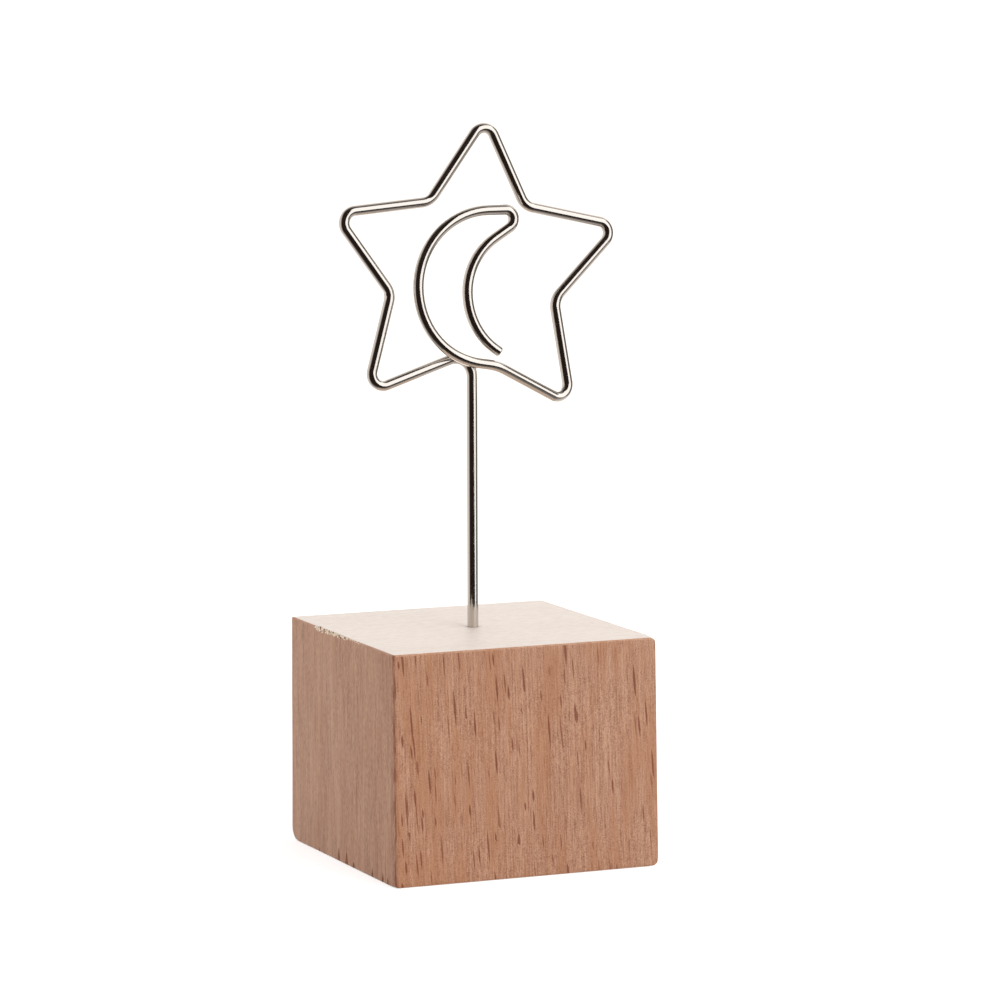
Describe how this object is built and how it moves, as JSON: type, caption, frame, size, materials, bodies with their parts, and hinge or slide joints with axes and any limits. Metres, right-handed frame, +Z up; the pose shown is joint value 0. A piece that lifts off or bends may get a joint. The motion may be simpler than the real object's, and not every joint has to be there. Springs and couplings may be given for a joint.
{
  "type": "wooden photo block holder",
  "caption": "Small wooden block with a bent wire clip on a stem: a star, and in front of it a crescent tongue that springs forward to hold a card or photograph.",
  "frame": {"origin": "centre of the block's underside, on the surface that it stands on", "axes": "+Z up along the stem, +X to the right along the star's plane, and the front with the crescent faces -Y"},
  "size_m": [0.0318, 0.03, 0.0788],
  "materials": {
    "beech": "sawn and rubbed down, unvarnished",
    "nickel_wire": "bright nickel plate"
  },
  "bodies": {
    "block": {"wood_block": "beech"},
    "star": {"star_wire": "nickel_wire"},
    "tongue": {"moon_tongue": "nickel_wire"}
  },
  "joints": [
    {"name": "clip_swivel", "type": "hinge", "parent": "block", "child": "star", "pos_m": [0.00015, 0, 0.0247], "axis": [0, 0, 1], "continuous": true},
    {"name": "tongue_flex", "type": "hinge", "parent": "star", "child": "tongue", "pos_m": [0.00095, -0.0015, 0.05319], "axis": [0.9877, 0, -0.1564], "range_deg": [0, 6], "stiffness_Nm_per_rad": 1}
  ]
}
